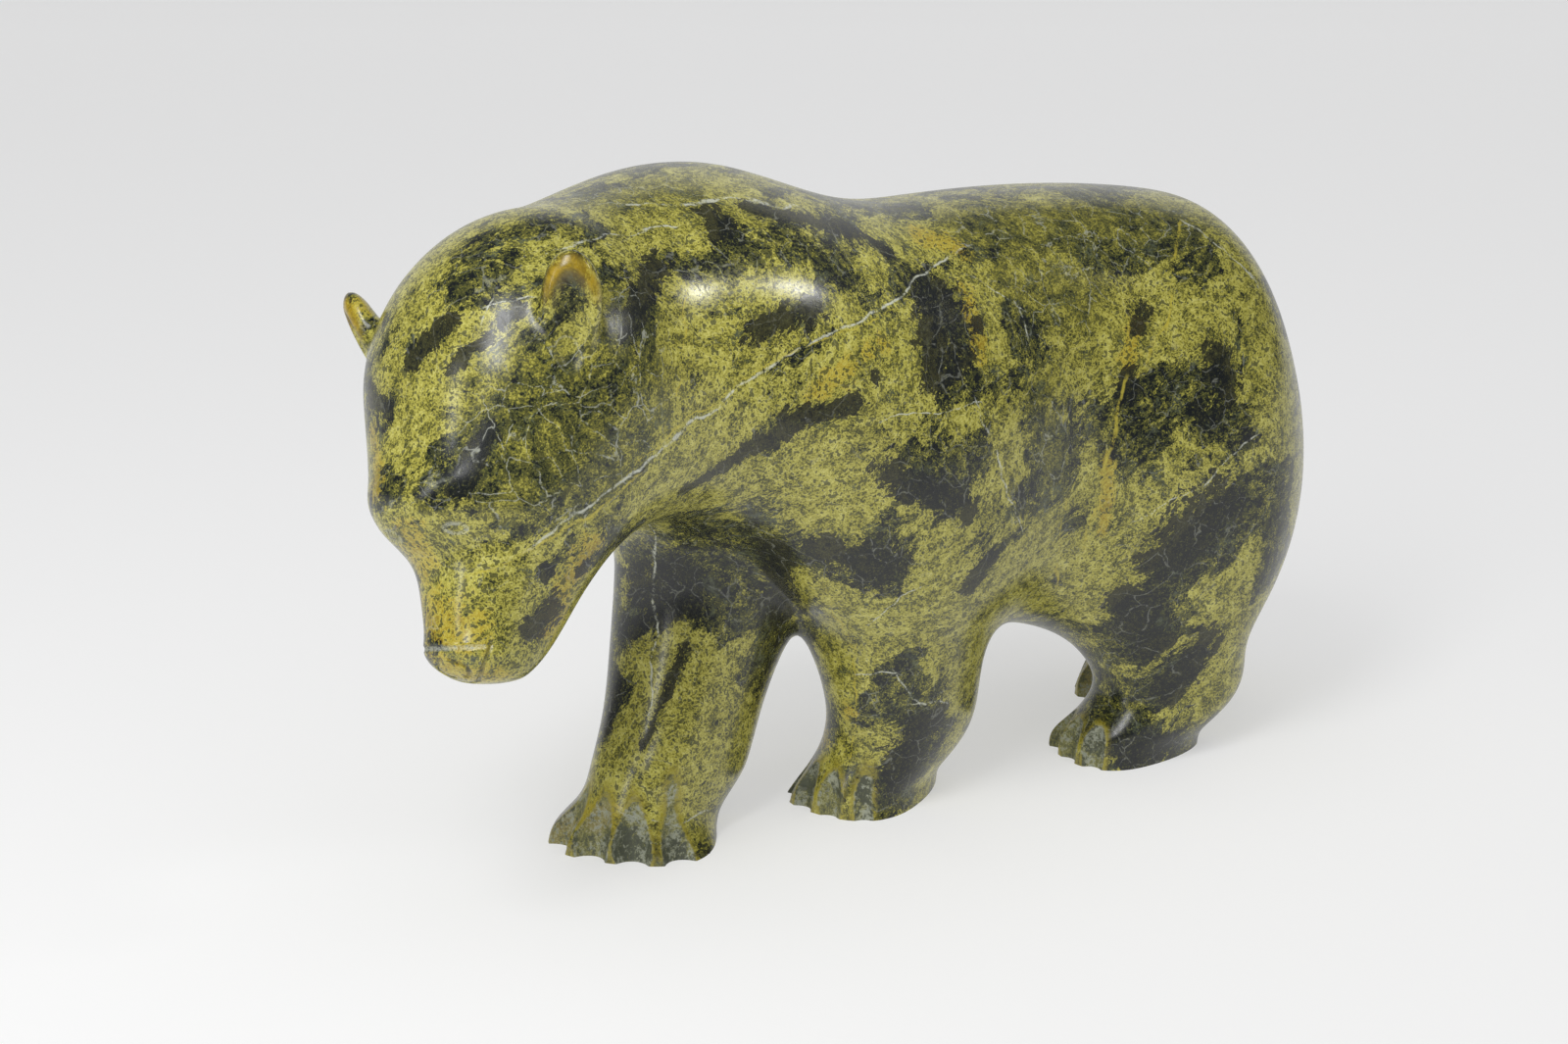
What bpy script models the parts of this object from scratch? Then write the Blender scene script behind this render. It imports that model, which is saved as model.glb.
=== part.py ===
"""A polar bear carved from one piece of stone.

The bear walks towards -X with its head low and turned a little to its left, which is -Y, and its four soles are
sawn flat at Z = 0. The body is modelled as a carver would block it out: a trunk, muscle masses, a neck, a head,
four legs and two ears, run into each other with soft joins. Proportions are in millimetres on a bear
CARVED_LENGTH long, and LENGTH sets the real size of the whole carving.
"""

import math

import bmesh
import bpy
import numpy as np
from mathutils import Matrix

LENGTH = 0.325
CARVED_LENGTH = 325.0
MM = LENGTH / CARVED_LENGTH

# Softness of each join: how far from the seam the two forms start to run together.
SOFT_MUSCLE = 36.0
SOFT_NECK = 40.0
SOFT_HEAD = 34.0
SOFT_LEG = 16.0
SOFT_BROW = 9.0
SOFT_EAR = 6.5

# The trunk from chest to rump: place along X, centre Y and Z, half width, half height.
TRUNK = (
    (-70, -7, 140, 34, 40.5),
    (-40, -6.5, 138, 39, 41),
    (-10, -2.5, 129, 44, 43.5),
    (25, 4, 113.5, 44.5, 55.5),
    (60, 8, 108, 44, 61),
    (95, 10, 104.5, 48, 63.5),
    (130, 8.5, 99.5, 52, 65),
    (168, 12.5, 92, 48.5, 64),
)
TRUNK_POWER = 2.4
CHEST_ROUND = 63.0
RUMP_ROUND = 34.0

# Shoulder and haunch muscles: centre X, Y, Z and radii.
MUSCLES = (
    (25.5, -18.5, 100, 42, 24, 42),
    (-6, 31, 112, 38, 22.5, 32),
    (126.5, -8, 84.5, 41.5, 26.5, 46.5),
    (150, 34, 86, 40, 27, 46),
)

# The neck is a tapered round bar from inside the withers to inside the skull.
WITHERS = (-27, 11.5, 137)
NAPE = (-85, -18, 144)
WITHERS_RADIUS = 43.0
NAPE_RADIUS = 35.5
NECK_FLATNESS = 0.95

# The head's own frame: its middle, then how far it turns to its left, nods down and leans, in degrees.
HEAD_AT = (-90.5, -19.5, 127)
HEAD_TURN = 19.5
HEAD_NOD = 55.5
HEAD_LEAN = 12.5

# Jaw and muzzle: place along the face, centre left and height, half width, half height.
JAW = (
    (-25, 0, -7.5, 34, 37.5),
    (-5, 0, -7, 34, 37),
    (12, 0, -2.5, 30, 30.5),
    (25, 0, -1.5, 25.5, 25.5),
    (37, 0, -4.5, 19.5, 20.5),
    (50, 0, -6, 14, 17),
    (58, 0, -5.5, 12, 13.5),
    (65.5, 0, -2.5, 11, 9.5),
)
JAW_POWER = 2.45
NOSE_ROUND = 6.0

# The forehead lies over the jaw and ends in a brow that overhangs the muzzle, more on the bear's right than on
# its left: place along the face, centre left and height, half width, half height.
FOREHEAD = (
    (-25, 0, 6, 31.5, 31),
    (-5, 0, 4.5, 30.5, 28.5),
    (12, 0, 4, 27.5, 27),
    (24, -0.5, 5.5, 25, 25),
    (32, -2, 5.5, 20.5, 24.5),
    (38, -3.5, 4, 13.5, 21),
    (42, -4, 3, 9.5, 17.5),
)
FOREHEAD_POWER = 2.35
BROW_ROUND = 7.0
SKULL_ROUND = 28.0

# An ear is a flat oval tab. The hollow in its front runs out at the bottom, into the cheek. Places are in the
# head's frame: along, left, up. The hollow's place is in the ear's own frame: to its tip, across, to its front.
LEFT_EAR = (-17, 37.5, 28)
RIGHT_EAR = (-15.5, -33, 26.5)
EAR_POINTS = (-0.74, 0.25, 0.62)
EAR_FACES = (0.5, 0.62, 0.6)
EAR_RADII = (12, 7.2, 4.2)
HOLLOW_RADII = (13, 5.8, 4.4)
HOLLOW_AT = (-3.5, 0, 5)

# Each leg: its foot on the floor, how far the leg turns to the bear's left, how far the paw turns from there,
# the angle from toe to toe, and its centre line at PATH_HEIGHTS, forward and left of the foot.
PATH_HEIGHTS = (0, 5, 10, 20, 32, 60, 110)
LEGS = {
    "right fore": dict(
        foot=(-37.5, 11), turned=20, splay=19, toe_angle=26, girth="right fore",
        path=((0, -1), (0.5, -0.5), (-2.5, 1), (-6.5, 3), (-11, 3.5), (-21, 3.5), (-26, 8.5)),
    ),
    "left fore": dict(
        foot=(33.5, 3), turned=24, splay=-8, toe_angle=22.5, girth="left fore",
        path=((1, -1), (1, -0.5), (-0.5, 1.5), (-2.5, 5.5), (-0.5, 8), (2, 6.5), (2, 14)),
    ),
    "left hind": dict(
        foot=(123, -9), turned=-1, splay=-11, toe_angle=24, girth="hind",
        path=((5.5, -1), (5, -0.5), (2, 1.5), (-4.5, 3.5), (-3, 4), (-4.5, 2.5), (4.5, -3)),
    ),
    "right hind": dict(
        foot=(162, 30.5), turned=0, splay=0, toe_angle=24, girth="hind",
        path=((5.5, 0.5), (5, 0.5), (2, 0), (-3, 0), (-5.5, 0), (7, 2), (18, 4)),
    ),
}

# Half lengths and half widths of the legs at GIRTH_HEIGHTS, and how square each section is.
GIRTH_HEIGHTS = (-14, 0, 5, 10, 20, 32, 50, 80, 110, 140)
GIRTHS = {
    "right fore": (
        (26.5, 21), (26.5, 21), (26.5, 20), (25.5, 18.5), (25, 18),
        (24, 19), (24.5, 22), (28.5, 25), (37, 27), (30, 24),
    ),
    "left fore": (
        (25, 17), (25, 17), (25, 16.5), (25, 17), (25, 18),
        (25.5, 19), (28, 22), (33, 25), (37, 27), (30, 24),
    ),
    "hind": (
        (22.5, 17), (22.5, 17), (23, 17), (23.5, 17), (23.5, 17),
        (24.5, 18.5), (29.5, 20.5), (37.5, 25), (42.5, 27), (33, 23),
    ),
}
GIRTH_POWER = 2.3
LEG_TOP_ROUND = 40.0

# A paw widens to the toes and narrows to the heel by this share of its width. Above the ankle it is all leg.
PAW_FAN = 0.4
ANKLE = 18.0

# Toes are scooped out with a gouge, as shares of one toe's width: radii into the paw, across and up the toe, then
# the heights where it enters and leaves the paw's surface.
TOES = (-1.5, -0.5, 0.5, 1.5)
GOUGE = (0.75, 0.53, 1.9)
GOUGE_ENDS = (-0.5, 1.3)

# The mesh: size of the first blocks, rounds of settling on the carved form, triangles kept before the scoops.
BLOCK = 1.5
SETTLE_ROUNDS = 4
PROBE = 0.05
TRIANGLES = 7000
RING_SIDES = 32
RING_STEPS = 40
SHARP_ANGLE = math.radians(30)

STONE_COLOUR = (0.155, 0.165, 0.045, 1)
STONE_ROUGHNESS = 0.2


def spline(knots, values, at):
    """Natural cubic spline through the rows of values, held flat past both ends."""
    knots = np.asarray(knots, float)
    values = np.asarray(values, float)
    gaps = np.diff(knots)
    count = len(knots)
    system = np.eye(count)
    target = np.zeros_like(values)
    for i in range(1, count - 1):
        system[i, i - 1:i + 2] = gaps[i - 1], 2 * (gaps[i - 1] + gaps[i]), gaps[i]
        target[i] = 3 * ((values[i + 1] - values[i]) / gaps[i] - (values[i] - values[i - 1]) / gaps[i - 1])
    bend = np.linalg.solve(system, target)
    at = np.clip(at, knots[0], knots[-1])
    i = np.clip(np.searchsorted(knots, at, side="right") - 1, 0, count - 2)
    step = (at - knots[i])[:, None]
    gap = gaps[i][:, None]
    slope = (values[i + 1] - values[i]) / gap - gap * (2 * bend[i] + bend[i + 1]) / 3
    return (values[i] + step * (slope + step * (bend[i] + step * (bend[i + 1] - bend[i]) / (3 * gap)))).T


def join(first, second, softness):
    """Union of two forms whose seam is filled to a soft hollow."""
    near = np.maximum(softness - np.abs(first - second), 0) / softness
    return np.minimum(first, second) - near ** 3 * softness / 6


def heading(turned, nod=0.0, lean=0.0):
    """Columns forward, left and up of a part that faces -X, turned to its left, leaned and then nodded down."""
    turned, nod, lean = np.radians([turned, nod, lean])
    ahead = np.array([-math.cos(turned), -math.sin(turned), 0])
    left = np.array([math.sin(turned), -math.cos(turned), 0]) * math.cos(lean) + np.array([0, 0, math.sin(lean)])
    forward = ahead * math.cos(nod) - np.cross(ahead, left) * math.sin(nod)
    return np.column_stack([forward, left, np.cross(forward, left)])


class Loft:
    """Closed form drawn through oval sections: place along, centre across and up, half width, half height."""

    def __init__(self, stations, power, rounds, origin=(0, 0, 0), axes=np.eye(3)):
        self.stations = np.array(stations, float)
        self.power = power
        self.rounds = rounds
        self.origin = np.array(origin, float)
        self.axes = np.array(axes)

    def sections(self, along):
        return spline(self.stations[:, 0], self.stations[:, 1:], along)

    def end(self, along):
        """0 along the body of the form, rising to 1 at the tip of each rounded end."""
        start, stop = self.rounds
        reach = np.zeros_like(along)
        if start:
            reach = np.maximum(reach, (self.stations[0, 0] + start - along) / start)
        if stop:
            reach = np.maximum(reach, (along - self.stations[-1, 0] + stop) / stop)
        return reach

    def local(self, points):
        return ((points - self.origin) @ self.axes).T

    def distance(self, points):
        return self.inset(*self.local(points))

    def inset(self, along, across, up):
        centre, height, wide, high = self.sections(along)
        oval = np.abs((across - centre) / wide) ** self.power + np.abs((up - height) / high) ** self.power
        reach = np.hypot(oval ** (1 / self.power), self.end(along))
        return (reach - 1) * np.minimum(wide, high)

    def rough(self, clay):
        """Adds the form to the clay as a tube of rings with closed ends."""
        steps = (1 - np.cos(np.linspace(0, math.pi, RING_STEPS))) / 2
        first, last = self.stations[0, 0], self.stations[-1, 0]
        along = first + (last - first) * (0.01 + 0.98 * steps)
        narrow = np.sqrt(np.maximum(1 - self.end(along) ** 2, 0.01))
        turns = np.linspace(0, 2 * math.pi, RING_SIDES, endpoint=False)
        rings = []
        for place, scale, section in zip(along, narrow, self.sections(along).T):
            centre, height, wide, high = section
            across = centre + wide * scale * np.cos(turns)
            up = height + high * scale * np.sin(turns)
            ring = np.column_stack([np.full(RING_SIDES, place), across, up]) @ self.axes.T + self.origin
            rings.append([clay.verts.new(corner) for corner in ring])
        for ring, following in zip(rings, rings[1:]):
            for i in range(RING_SIDES):
                clay.faces.new((ring[i - 1], ring[i], following[i], following[i - 1]))
        clay.faces.new(reversed(rings[0]))
        clay.faces.new(rings[-1])


class Egg:
    """Ellipsoid with its radii along the given axes."""

    def __init__(self, centre, radii, axes=np.eye(3)):
        self.centre = np.array(centre, float)
        self.radii = np.array(radii, float)
        self.axes = np.array(axes)

    def distance(self, points):
        local = (points - self.centre) @ self.axes
        reach = np.linalg.norm(local / self.radii, axis=1)
        slope = np.linalg.norm(local / self.radii ** 2, axis=1)
        return reach * (reach - 1) / np.maximum(slope, 1e-9)

    def rough(self, clay):
        place = Matrix.Translation(self.centre) @ Matrix(self.axes).to_4x4() @ Matrix.Diagonal((*self.radii, 1))
        bmesh.ops.create_uvsphere(clay, u_segments=RING_SIDES, v_segments=RING_SIDES // 2, radius=1, matrix=place)


class Bar:
    """Round bar between two points with its own radius at each, a little flattened sideways."""

    def __init__(self, start, stop, start_radius, stop_radius, flatness):
        self.start = np.array(start, float)
        self.line = np.array(stop, float) - self.start
        self.radii = (start_radius, stop_radius)
        self.squash = np.array([1, flatness, 1])

    def radius(self, share):
        return self.radii[0] + (self.radii[1] - self.radii[0]) * share ** 2 * (3 - 2 * share)

    def distance(self, points):
        share = np.clip((points - self.start) @ self.line / (self.line @ self.line), 0, 1)
        away = points - self.start - share[:, None] * self.line
        return np.linalg.norm(away / self.squash, axis=1) - self.radius(share)

    def rough(self, clay):
        for share in np.linspace(0, 1, 9):
            Egg(self.start + share * self.line, self.radius(share) * self.squash).rough(clay)


class Leg(Loft):
    """Leg drawn up its centre line, with a paw that turns and fans out below the ankle."""

    def __init__(self, foot, turned, splay, toe_angle, girth, path):
        steps = spline(PATH_HEIGHTS, path, np.array(GIRTH_HEIGHTS, float)).T
        stations = np.column_stack([GIRTH_HEIGHTS, steps, GIRTHS[girth]])
        forward, left, up = heading(turned).T
        super().__init__(stations, GIRTH_POWER, (0, LEG_TOP_ROUND), (*foot, 0), np.column_stack([up, forward, left]))
        self.ahead, self.aside, self.paw_length = self.stations[1, 1:4]
        self.splay = math.radians(splay)
        self.toe_turns = math.radians(toe_angle) * np.array(TOES)
        self.toe_width = math.radians(toe_angle) * self.paw_length

    def distance(self, points):
        height, forward, left = self.local(points)
        low = np.clip(1 - height / ANKLE, 0, 1) ** 2
        swing = self.splay * low
        ahead = forward * np.cos(swing) + left * np.sin(swing)
        aside = left * np.cos(swing) - forward * np.sin(swing) - self.aside
        fan = 1 + PAW_FAN * low * np.clip((ahead - self.ahead) / self.paw_length, -1, 1)
        return self.inset(height, ahead, self.aside + aside / fan)

    def paw(self, height, ahead, aside):
        """Turns a direction given along the paw into the bear's own."""
        swing = complex(ahead, aside) * complex(math.cos(self.splay), math.sin(self.splay))
        return self.axes @ np.array([height, swing.real, swing.imag])

    def gouges(self):
        """One egg for each toe, which enters and leaves the paw's surface at the gouge's two heights."""
        radii = self.toe_width * np.array(GOUGE)
        eggs = []
        for turn in self.toe_turns:
            ahead = self.paw(0, math.cos(turn), math.sin(turn))
            low, high = (self.surface(self.toe_width * height, ahead) for height in GOUGE_ENDS)
            stroke = high - low
            length = np.linalg.norm(stroke)
            stroke = stroke / length
            across = np.cross(stroke, slope(self.distance, (low + high)[None] / 2)[0])
            across = across / np.linalg.norm(across)
            out = np.cross(across, stroke)
            place = (low + high) / 2 + out * radii[0] * math.sqrt(1 - (length / 2 / radii[2]) ** 2)
            eggs.append(Egg(place, radii, np.column_stack([out, across, stroke])))
        return eggs

    def surface(self, height, ahead):
        """Where the paw's surface lies at this height, in this direction from the paw's middle."""
        middle = self.origin + self.paw(height, self.ahead, self.aside)
        reaches = np.linspace(0, 1.5 * self.paw_length, 400)
        outside = self.distance(middle + reaches[:, None] * ahead) > 0
        return middle + reaches[np.argmax(outside)] * ahead


def make_forms():
    """The bear's forms, each by its own name."""
    head_axes = heading(HEAD_TURN, HEAD_NOD, HEAD_LEAN)
    forms = {
        "trunk": Loft(TRUNK, TRUNK_POWER, (CHEST_ROUND, RUMP_ROUND)),
        "muscles": [Egg(row[:3], row[3:]) for row in MUSCLES],
        "neck": Bar(WITHERS, NAPE, WITHERS_RADIUS, NAPE_RADIUS, NECK_FLATNESS),
        "legs": [Leg(**leg) for leg in LEGS.values()],
        "ears": [],
        "scoops": [],
    }
    for leg in forms["legs"]:
        forms["scoops"] += leg.gouges()
    for name, stations, power, tip in (
        ("jaw", JAW, JAW_POWER, NOSE_ROUND),
        ("forehead", FOREHEAD, FOREHEAD_POWER, BROW_ROUND),
    ):
        forms[name] = Loft(stations, power, (SKULL_ROUND, tip), HEAD_AT, head_axes)
    for side, place in ((1, LEFT_EAR), (-1, RIGHT_EAR)):
        mirror = np.array([1, side, 1])
        along = np.array(EAR_POINTS) / np.linalg.norm(EAR_POINTS)
        facing = np.array(EAR_FACES) - along * (np.array(EAR_FACES) @ along)
        facing = facing / np.linalg.norm(facing)
        ear_axes = head_axes @ (np.column_stack([along, np.cross(along, facing), facing]) * mirror[:, None])
        centre = np.array(HEAD_AT) + head_axes @ np.array(place, float)
        forms["ears"].append(Egg(centre, EAR_RADII, ear_axes))
        forms["scoops"].append(Egg(centre + ear_axes @ np.array(HOLLOW_AT), HOLLOW_RADII, ear_axes))
    return forms


def carved(forms, points):
    """Distance from each point to the surface before the scoops, negative inside the stone."""
    form = forms["trunk"].distance(points)
    for muscle in forms["muscles"]:
        form = join(form, muscle.distance(points), SOFT_MUSCLE)
    form = join(form, forms["neck"].distance(points), SOFT_NECK)
    head = join(forms["jaw"].distance(points), forms["forehead"].distance(points), SOFT_BROW)
    form = join(form, head, SOFT_HEAD)
    for ear in forms["ears"]:
        form = join(form, ear.distance(points), SOFT_EAR)
    for leg in forms["legs"]:
        form = join(form, leg.distance(points), SOFT_LEG)
    return form


def slope(distance, points):
    """How fast a distance grows along each axis."""
    return np.column_stack([
        (distance(points + probe) - distance(points - probe)) / (2 * PROBE)
        for probe in np.eye(3) * PROBE
    ])


def settle(forms, mesh):
    """Moves every corner of the mesh along the form's slope on to the carved surface."""
    points = np.empty(len(mesh.vertices) * 3)
    mesh.vertices.foreach_get("co", points)
    points = points.reshape(-1, 3)
    for _ in range(SETTLE_ROUNDS):
        rise = slope(lambda near: carved(forms, near), points)
        steep = np.maximum((rise ** 2).sum(axis=1), 0.05)
        step = np.clip(carved(forms, points) / steep, -BLOCK, BLOCK)
        points = points - step[:, None] * rise
    mesh.vertices.foreach_set("co", points.ravel())
    mesh.update()


def block_out(forms):
    """One closed mesh of the forms pushed together, in even blocks."""
    clay = bmesh.new()
    forms["trunk"].rough(clay)
    forms["neck"].rough(clay)
    forms["jaw"].rough(clay)
    forms["forehead"].rough(clay)
    for group in ("muscles", "legs", "ears"):
        for form in forms[group]:
            form.rough(clay)
    mesh = bpy.data.meshes.new("clay")
    clay.to_mesh(mesh)
    clay.free()
    return modified(mesh, "REMESH", mode="VOXEL", voxel_size=BLOCK)


def scoop(mesh, egg):
    """The mesh with an egg's shape cut out of it."""
    tool = bmesh.new()
    egg.rough(tool)
    bmesh.ops.recalc_face_normals(tool, faces=tool.faces[:])
    tool_mesh = bpy.data.meshes.new("gouge")
    tool.to_mesh(tool_mesh)
    tool.free()
    gouge = bpy.data.objects.new("gouge", tool_mesh)
    gouge.display_type = "WIRE"
    gouge.hide_render = True
    bpy.context.scene.collection.objects.link(gouge)
    result = modified(mesh, "BOOLEAN", operation="DIFFERENCE", solver="EXACT", object=gouge)
    bpy.data.objects.remove(gouge)
    return result


def modified(mesh, kind, **settings):
    """The mesh as a modifier leaves it."""
    worker = bpy.data.objects.new("worker", mesh)
    bpy.context.scene.collection.objects.link(worker)
    modifier = worker.modifiers.new(kind.title(), kind)
    for name, value in settings.items():
        setattr(modifier, name, value)
    scene_state = bpy.context.evaluated_depsgraph_get()
    result = bpy.data.meshes.new_from_object(worker.evaluated_get(scene_state))
    bpy.data.objects.remove(worker)
    return result


def saw_soles(mesh):
    """Saws the paws off flat at the floor and closes the soles."""
    bear = bmesh.new()
    bear.from_mesh(mesh)
    everything = bear.verts[:] + bear.edges[:] + bear.faces[:]
    bmesh.ops.bisect_plane(bear, geom=everything, dist=1e-4, plane_no=(0, 0, 1), clear_inner=True)
    rim = [edge for edge in bear.edges if edge.is_boundary]
    bmesh.ops.holes_fill(bear, edges=rim, sides=0)
    bmesh.ops.triangulate(bear, faces=bear.faces[:])
    bmesh.ops.recalc_face_normals(bear, faces=bear.faces[:])
    bear.to_mesh(mesh)
    bear.free()


def stone():
    material = bpy.data.materials.new("polished green stone")
    material.use_nodes = True
    shader = material.node_tree.nodes["Principled BSDF"]
    shader.inputs["Base Color"].default_value = STONE_COLOUR
    shader.inputs["Roughness"].default_value = STONE_ROUGHNESS
    shader.inputs["Metallic"].default_value = 0.0
    return material


for leftover in list(bpy.data.objects):
    bpy.data.objects.remove(leftover)

bear_forms = make_forms()
carving = block_out(bear_forms)
settle(bear_forms, carving)
carving = modified(carving, "REMESH", mode="VOXEL", voxel_size=BLOCK)
carving = modified(carving, "SMOOTH", factor=0.5, iterations=6)
settle(bear_forms, carving)
carving.calc_loop_triangles()
carving = modified(carving, "DECIMATE", ratio=TRIANGLES / len(carving.loop_triangles))
for egg in bear_forms["scoops"]:
    carving = scoop(carving, egg)
saw_soles(carving)
low, high = (np.array([pick([vertex.co[axis] for vertex in carving.vertices]) for axis in range(3)])
             for pick in (min, max))
carving.transform(Matrix.Scale(MM, 4) @ Matrix.Translation((-(low + high)[0] / 2, -(low + high)[1] / 2, 0)))
carving.name = "bear"
carving.materials.clear()
carving.materials.append(stone())
carving.shade_smooth()
carving.set_sharp_from_angle(angle=SHARP_ANGLE)
bpy.context.scene.collection.objects.link(bpy.data.objects.new("bear", carving))
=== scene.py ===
"""Looks of a walking polar bear, carved from one block of green serpentine and polished.

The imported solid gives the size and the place. Here its surface is carved again at full fineness, with the
toes, the ears and the face, and is given the stone's colours, veins and polish.
"""

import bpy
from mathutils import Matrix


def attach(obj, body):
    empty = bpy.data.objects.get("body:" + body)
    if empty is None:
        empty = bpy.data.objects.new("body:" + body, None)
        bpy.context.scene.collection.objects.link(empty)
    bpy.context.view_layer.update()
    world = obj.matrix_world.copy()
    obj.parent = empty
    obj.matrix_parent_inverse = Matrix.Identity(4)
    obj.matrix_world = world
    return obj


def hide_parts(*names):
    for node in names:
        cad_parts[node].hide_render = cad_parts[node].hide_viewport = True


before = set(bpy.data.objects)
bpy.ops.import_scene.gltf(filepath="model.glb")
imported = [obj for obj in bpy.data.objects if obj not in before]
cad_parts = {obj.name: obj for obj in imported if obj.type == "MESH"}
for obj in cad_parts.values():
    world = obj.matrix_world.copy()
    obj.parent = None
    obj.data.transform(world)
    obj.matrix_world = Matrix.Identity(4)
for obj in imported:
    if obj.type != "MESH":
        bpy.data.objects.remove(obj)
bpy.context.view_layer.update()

import math

import bmesh
import bpy
import numpy as np
from mathutils import Matrix, Vector
from mathutils.bvhtree import BVHTree

# The camera. It stands before the bear's left shoulder and looks down a little, and it is also used to find
# the spot on the stone that lies under a place in the picture.
PICTURE = (1600, 1065)
LENS = 67.5
SENSOR = 36.0
CAMERA_TURN = math.radians(33)
CAMERA_RISE = math.radians(15)
CAMERA_DISTANCE = 0.8
CAMERA_AIM = Vector((-0.02964, -0.00419, 0.085))
NEAREST_SEEN = 0.01

camera_data = bpy.data.cameras.new("camera")
camera_data.lens = LENS
camera_data.sensor_fit = "HORIZONTAL"
camera_data.sensor_width = SENSOR
camera_data.clip_start = NEAREST_SEEN
camera = bpy.data.objects.new("camera", camera_data)
bpy.context.scene.collection.objects.link(camera)
camera.rotation_euler = (math.pi / 2 - CAMERA_RISE, 0, -CAMERA_TURN)
camera_axes = camera.rotation_euler.to_matrix()
camera.location = CAMERA_AIM + camera_axes @ Vector((0, 0, CAMERA_DISTANCE))
bpy.context.scene.camera = camera


def picture_ray(across, down):
    """Direction from the camera through a place in the picture, in picture pixels."""
    focal = LENS / SENSOR * PICTURE[0]
    return (camera_axes @ Vector((across - PICTURE[0] / 2, PICTURE[1] / 2 - down, -focal))).normalized()


# The body, in millimetres on the carver's floor plan, where MIDDLE lies under the middle of the bear's box.
# A trunk, muscle masses, a neck, a head of jaw and forehead, two ears and four legs run into each other with
# soft joins. The forms are those of the solid.
MILLIMETRES = 1000
MIDDLE = np.array((29.644, 4.191, 0))
SOFT_MUSCLE = 36.0
SOFT_NECK = 40.0
SOFT_HEAD = 34.0
SOFT_LEG = 16.0
SOFT_BROW = 9.0
SOFT_EAR = 6.5

# Place along X, centre Y and Z, half width, half height.
TRUNK = (
    (-70, -7, 140, 34, 40.5),
    (-40, -6.5, 138, 39, 41),
    (-10, -2.5, 129, 44, 43.5),
    (25, 4, 113.5, 44.5, 55.5),
    (60, 8, 108, 44, 61),
    (95, 10, 104.5, 48, 63.5),
    (130, 8.5, 99.5, 52, 65),
    (168, 12.5, 92, 48.5, 64),
)
TRUNK_POWER = 2.4
CHEST_ROUND = 63.0
RUMP_ROUND = 34.0

# Centre X, Y, Z and radii.
MUSCLES = (
    (25.5, -18.5, 100, 42, 24, 42),
    (-6, 31, 112, 38, 22.5, 32),
    (126.5, -8, 84.5, 41.5, 26.5, 46.5),
    (150, 34, 86, 40, 27, 46),
)
WITHERS = (-27, 11.5, 137)
NAPE = (-85, -18, 144)
WITHERS_RADIUS = 43.0
NAPE_RADIUS = 35.5
NECK_FLATNESS = 0.95

HEAD_AT = (-90.5, -19.5, 127)
HEAD_TURN = 19.5
HEAD_NOD = 55.5
HEAD_LEAN = 12.5
HEAD_REACH = 120
SKULL_ROUND = 28.0

# Place along the face, centre left and height, half width, half height.
JAW = (
    (-25, 0, -7.5, 34, 37.5),
    (-5, 0, -7, 34, 37),
    (12, 0, -2.5, 30, 30.5),
    (25, 0, -1.5, 25.5, 25.5),
    (37, 0, -4.5, 19.5, 20.5),
    (50, 0, -6, 14, 17),
    (58, 0, -5.5, 12, 13.5),
    (65.5, 0, -2.5, 11, 9.5),
)
JAW_POWER = 2.45
NOSE_ROUND = 6.0
FOREHEAD = (
    (-25, 0, 6, 31.5, 31),
    (-5, 0, 4.5, 30.5, 28.5),
    (12, 0, 4, 27.5, 27),
    (24, -0.5, 5.5, 25, 25),
    (32, -2, 5.5, 20.5, 24.5),
    (38, -3.5, 4, 13.5, 21),
    (42, -4, 3, 9.5, 17.5),
)
FOREHEAD_POWER = 2.35
BROW_ROUND = 7.0

LEFT_EAR = (-17, 37.5, 28)
RIGHT_EAR = (-15.5, -33, 26.5)
EAR_POINTS = (-0.74, 0.25, 0.62)
EAR_FACES = (0.5, 0.62, 0.6)
EAR_RADII = (12, 7.2, 4.2)

# A leg's centre line at PATH_HEIGHTS, forward and left of its foot, and its girth at GIRTH_HEIGHTS.
PATH_HEIGHTS = (0, 5, 10, 20, 32, 60, 110)
LEGS = {
    "right fore": dict(
        foot=(-37.5, 11), turned=20, splay=19, toe_angle=26, girth="right fore",
        path=((0, -1), (0.5, -0.5), (-2.5, 1), (-6.5, 3), (-11, 3.5), (-21, 3.5), (-26, 8.5)),
    ),
    "left fore": dict(
        foot=(33.5, 3), turned=24, splay=-8, toe_angle=22.5, girth="left fore",
        path=((1, -1), (1, -0.5), (-0.5, 1.5), (-2.5, 5.5), (-0.5, 8), (2, 6.5), (2, 14)),
    ),
    "left hind": dict(
        foot=(123, -9), turned=-1, splay=-11, toe_angle=24, girth="hind",
        path=((5.5, -1), (5, -0.5), (2, 1.5), (-4.5, 3.5), (-3, 4), (-4.5, 2.5), (4.5, -3)),
    ),
    "right hind": dict(
        foot=(162, 30.5), turned=0, splay=0, toe_angle=24, girth="hind",
        path=((5.5, 0.5), (5, 0.5), (2, 0), (-3, 0), (-5.5, 0), (7, 2), (18, 4)),
    ),
}
GIRTH_HEIGHTS = (-14, 0, 5, 10, 20, 32, 50, 80, 110, 140)
GIRTHS = {
    "right fore": (
        (26.5, 21), (26.5, 21), (26.5, 20), (25.5, 18.5), (25, 18),
        (24, 19), (24.5, 22), (28.5, 25), (37, 27), (30, 24),
    ),
    "left fore": (
        (25, 17), (25, 17), (25, 16.5), (25, 17), (25, 18),
        (25.5, 19), (28, 22), (33, 25), (37, 27), (30, 24),
    ),
    "hind": (
        (22.5, 17), (22.5, 17), (23, 17), (23.5, 17), (23.5, 17),
        (24.5, 18.5), (29.5, 20.5), (37.5, 25), (42.5, 27), (33, 23),
    ),
}
GIRTH_POWER = 2.3
LEG_TOP_ROUND = 40.0
LEG_REACH = 105.0
LEG_MIDDLE = 62.0
PAW_FAN = 0.4
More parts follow.
